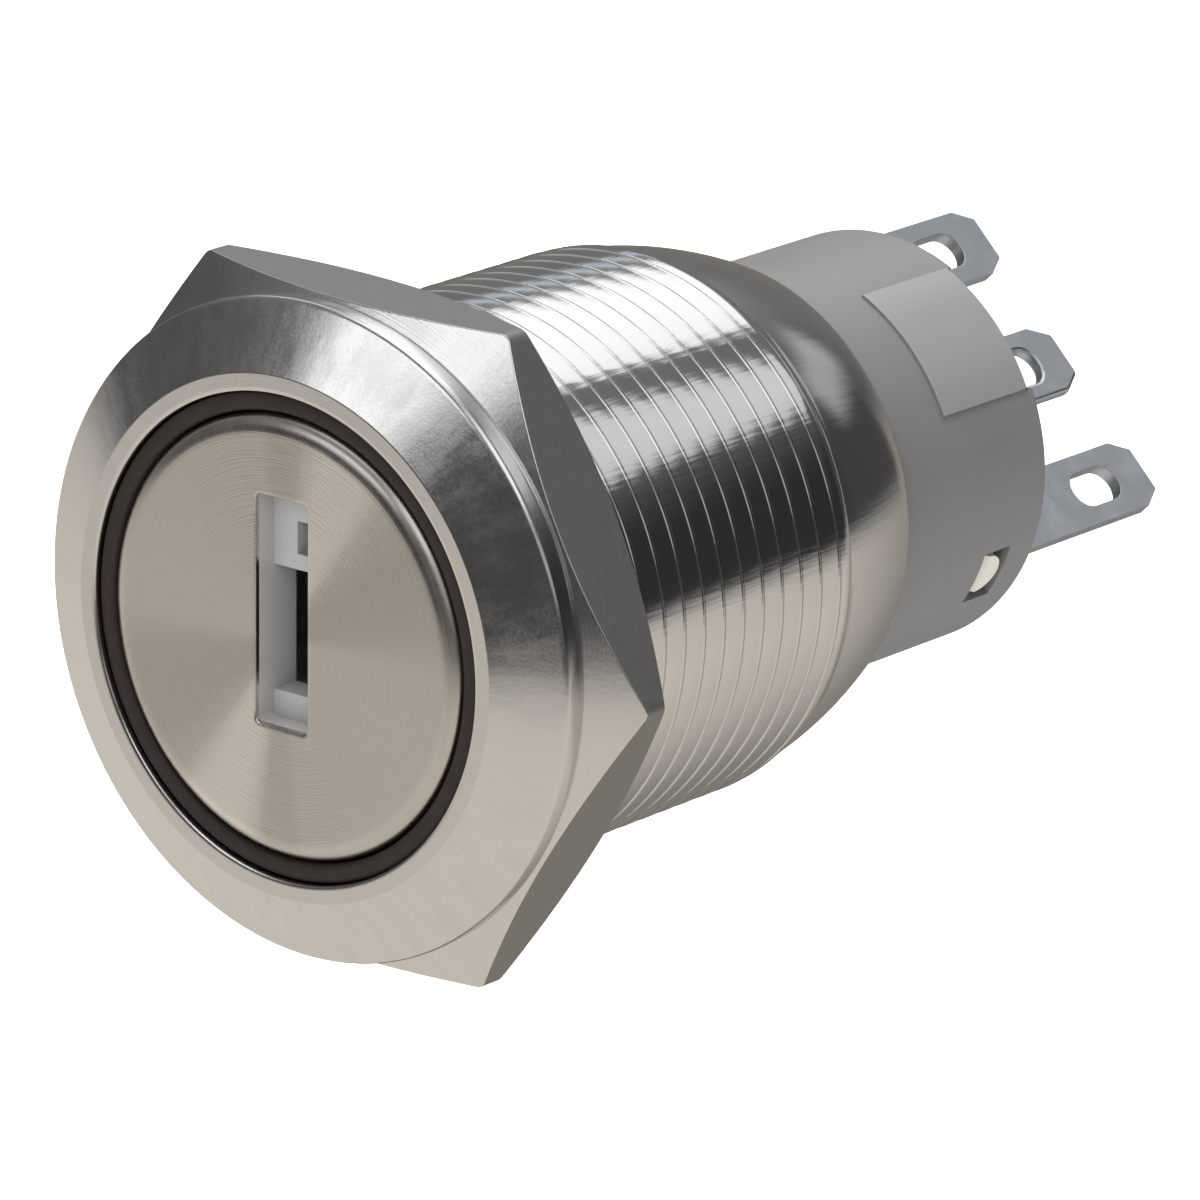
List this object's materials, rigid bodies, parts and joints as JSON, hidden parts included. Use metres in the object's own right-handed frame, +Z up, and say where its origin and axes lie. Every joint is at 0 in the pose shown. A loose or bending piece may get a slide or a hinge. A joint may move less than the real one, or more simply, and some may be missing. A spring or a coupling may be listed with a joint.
{
  "type": "panel-mount key switch",
  "caption": "Round stainless key switch for a panel hole: bevelled head with keyway disc, threaded barrel with hexagon nut, grey rear housing and a row of solder lugs.",
  "frame": {"origin": "on the switch's axis, in the plane under the head where the panel seats", "axes": "+Y along the axis from the face towards the solder lugs, +Z up along the upright keyway, +X to the right seen from the front"},
  "size_m": [0.0254, 0.0398, 0.0224],
  "materials": {
    "turned_stainless": "satin",
    "nut_stainless": "satin",
    "brushed_stainless": "satin",
    "black_rubber": "matte",
    "dark_plastic": "satin",
    "light_grey_plastic": "satin",
    "grey_plastic": "satin",
    "ivory_plastic": "satin",
    "potting": "satin",
    "zinc_casting": "satin",
    "steel": "satin",
    "spring_steel": "satin",
    "white_plastic": "satin",
    "wafer_brass": "satin",
    "contact_copper": "satin",
    "contact_silver": "satin",
    "tin_plate": "satin"
  },
  "bodies": {
    "switch_body": {"bezel_barrel": "turned_stainless", "panel_gasket": "black_rubber", "trim_ring": "dark_plastic", "rear_housing": "grey_plastic", "contact_base": "ivory_plastic", "rear_seal": "potting", "lock_shell": "zinc_casting", "shell_pin": "steel", "index_spring_left": "spring_steel", "index_spring_right": "spring_steel", "return_spring": "spring_steel", "rivet_nc": "contact_silver", "rivet_no": "contact_silver", "terminal_nc": "tin_plate", "terminal_common": "tin_plate", "terminal_no": "tin_plate"},
    "rotor": {"face_disc": "brushed_stainless", "key_guide": "light_grey_plastic", "lock_plug": "zinc_casting", "plug_clip": "spring_steel", "drive_cam": "white_plastic", "cam_screw": "steel", "wafer_spring_1": "spring_steel", "wafer_spring_2": "spring_steel", "wafer_spring_3": "spring_steel", "wafer_spring_4": "spring_steel", "wafer_spring_5": "spring_steel"},
    "plunger_set": {"plunger": "white_plastic", "moving_contact": "contact_copper", "moving_rivet": "contact_silver"},
    "panel_nut": {"hex_nut": "nut_stainless"},
    "wafer_1_body": {"wafer_1": "wafer_brass"},
    "wafer_2_body": {"wafer_2": "wafer_brass"},
    "wafer_3_body": {"wafer_3": "wafer_brass"},
    "wafer_4_body": {"wafer_4": "wafer_brass"},
    "wafer_5_body": {"wafer_5": "wafer_brass"}
  },
  "joints": [
    {"name": "key_turn", "type": "hinge", "parent": "switch_body", "child": "rotor", "pos_m": [0, 0, 0], "axis": [0, 1, 0], "range_deg": [0, 90], "deforming": ["index_spring_left", "index_spring_right"]},
    {"name": "plunger_slide", "type": "slide", "parent": "switch_body", "child": "plunger_set", "axis": [0, 1, 0], "range_m": [0, 0.0012], "deforming": ["return_spring"]},
    {"name": "nut_travel", "type": "slide", "parent": "switch_body", "child": "panel_nut", "axis": [0, 1, 0], "range_m": [0, 0.0124]},
    {"name": "wafer_1_slide", "type": "slide", "parent": "rotor", "child": "wafer_1_body", "axis": [0, 0, 1], "range_m": [0, 0.00045], "stiffness_N_per_m": 60, "springref_m": 0.0012, "deforming": ["wafer_spring_1"]},
    {"name": "wafer_2_slide", "type": "slide", "parent": "rotor", "child": "wafer_2_body", "axis": [0, 0, 1], "range_m": [0, 0.00045], "stiffness_N_per_m": 60, "springref_m": 0.0012, "deforming": ["wafer_spring_2"]},
    {"name": "wafer_3_slide", "type": "slide", "parent": "rotor", "child": "wafer_3_body", "axis": [0, 0, 1], "range_m": [0, 0.00045], "stiffness_N_per_m": 60, "springref_m": 0.0012, "deforming": ["wafer_spring_3"]},
    {"name": "wafer_4_slide", "type": "slide", "parent": "rotor", "child": "wafer_4_body", "axis": [0, 0, 1], "range_m": [0, 0.00045], "stiffness_N_per_m": 60, "springref_m": 0.0012, "deforming": ["wafer_spring_4"]},
    {"name": "wafer_5_slide", "type": "slide", "parent": "rotor", "child": "wafer_5_body", "axis": [0, 0, 1], "range_m": [0, 0.00045], "stiffness_N_per_m": 60, "springref_m": 0.0012, "deforming": ["wafer_spring_5"]}
  ],
  "couplings": [
    {"joint": "plunger_slide", "follows": "key_turn", "m_per_rad": 0.00076394}
  ]
}
